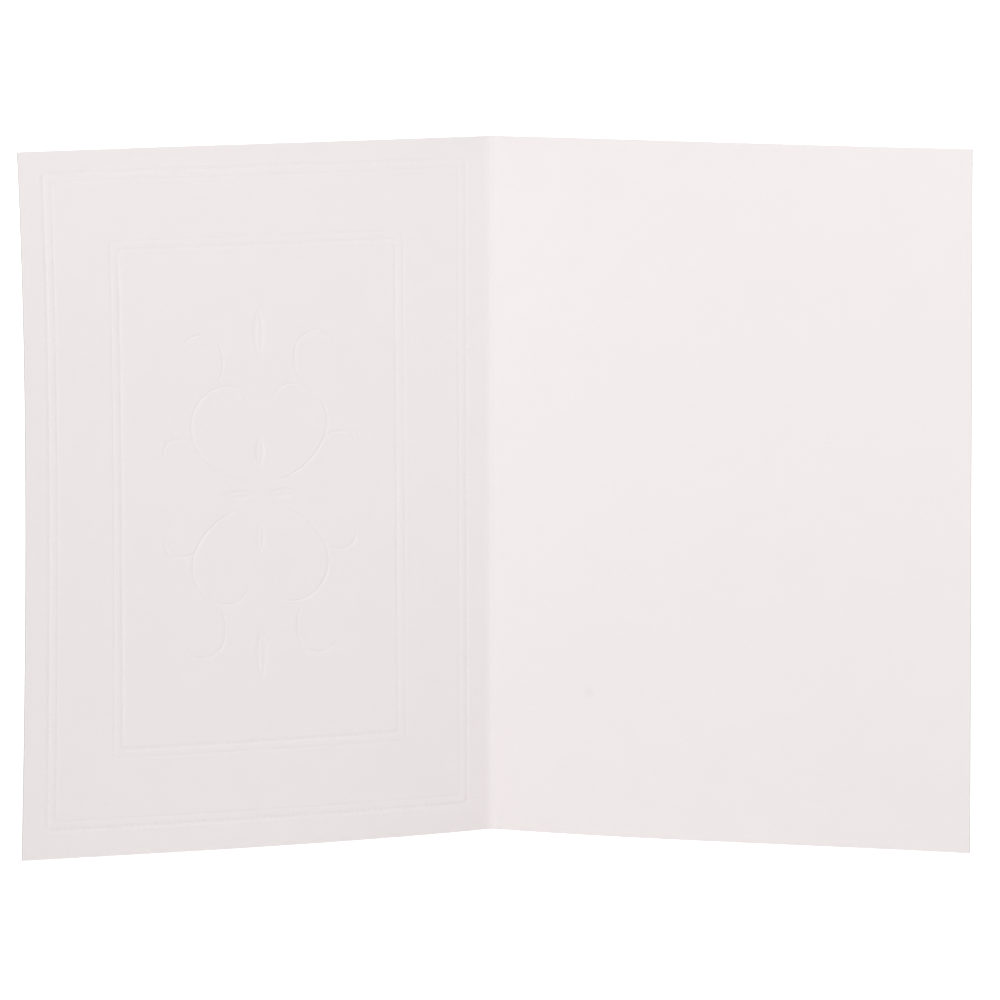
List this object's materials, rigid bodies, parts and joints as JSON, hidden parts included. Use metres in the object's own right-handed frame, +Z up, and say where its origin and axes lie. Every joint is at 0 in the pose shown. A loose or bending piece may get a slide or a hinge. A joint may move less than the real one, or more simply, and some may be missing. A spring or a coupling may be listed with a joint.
{
  "type": "greeting card",
  "caption": "Folded card standing open on its bottom edge, one panel blind-stamped with nested line frames around a scroll ornament, the other plain.",
  "frame": {"origin": "middle of the box around the open card, at the level of its bottom cut edge", "axes": "+X across the open card from the stamped panel to the plain one, +Y from the open side back to the fold, +Z up along the fold"},
  "size_m": [0.2382, 0.0494, 0.1778],
  "materials": {
    "card_stock": "uncoated matt, faintly warm white"
  },
  "bodies": {
    "root": {"folded_card": "card_stock"}
  },
  "joints": []
}
